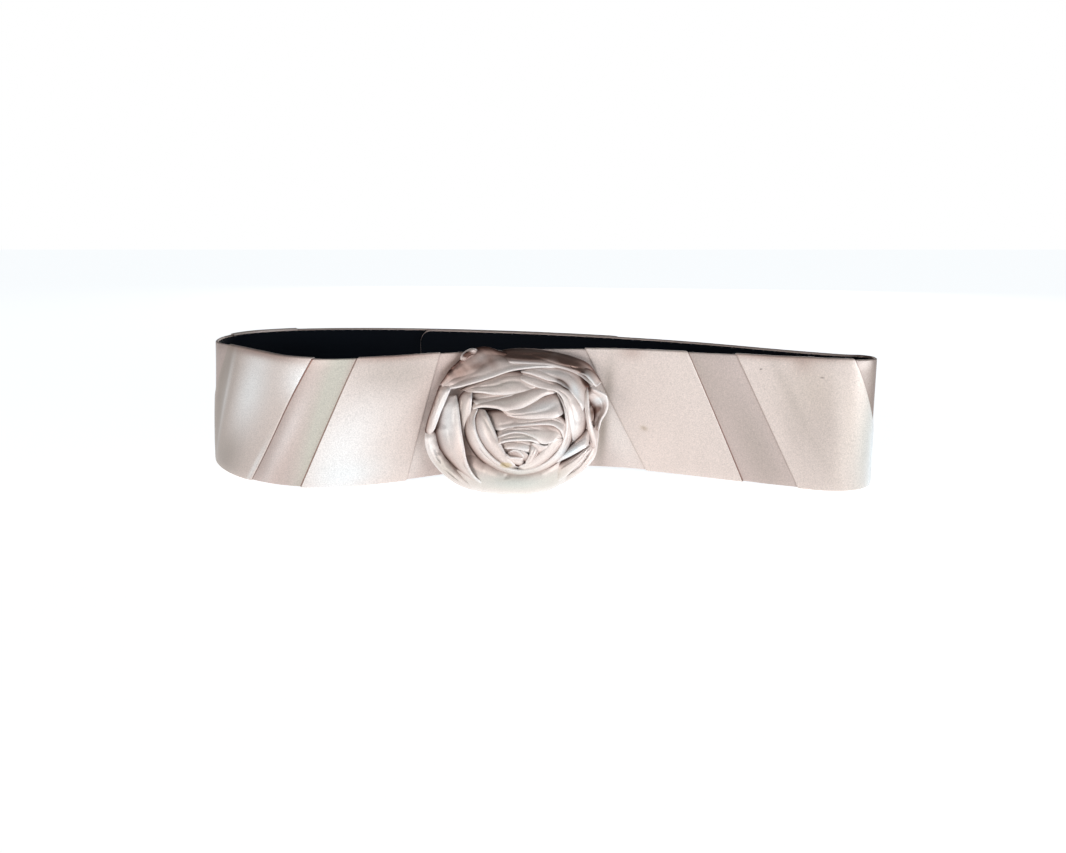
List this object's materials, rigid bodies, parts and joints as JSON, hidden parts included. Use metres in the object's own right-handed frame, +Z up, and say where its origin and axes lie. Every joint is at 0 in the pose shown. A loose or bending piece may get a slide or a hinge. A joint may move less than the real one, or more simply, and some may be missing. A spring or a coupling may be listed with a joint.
{
  "type": "satin belt",
  "caption": "Waist belt of stiffened satin closed in a standing loop, with slanting satin wraps and a rolled satin flower on its front.",
  "frame": {"origin": "centre of the belt's box, on the surface that it stands on", "axes": "+Z up across the belt's width, +X to the right of somebody who faces the flower, -Y towards them"},
  "size_m": [0.3512, 0.134, 0.0682],
  "materials": {
    "band_satin": "smooth blush satin with a soft sheen",
    "lining_cloth": "matt near-black backing cloth",
    "wrap_satin": "smooth champagne satin with a soft sheen",
    "rosette_satin": "folded blush satin with bright rims"
  },
  "bodies": {
    "root": {"band_base": "band_satin", "band_lining": "lining_cloth", "wrap_front_left_outer": "wrap_satin", "wrap_front_left_inner": "wrap_satin", "wrap_front_right_inner": "wrap_satin", "wrap_front_right_outer": "wrap_satin", "wrap_back_left": "wrap_satin", "rosette": "rosette_satin"}
  },
  "joints": []
}
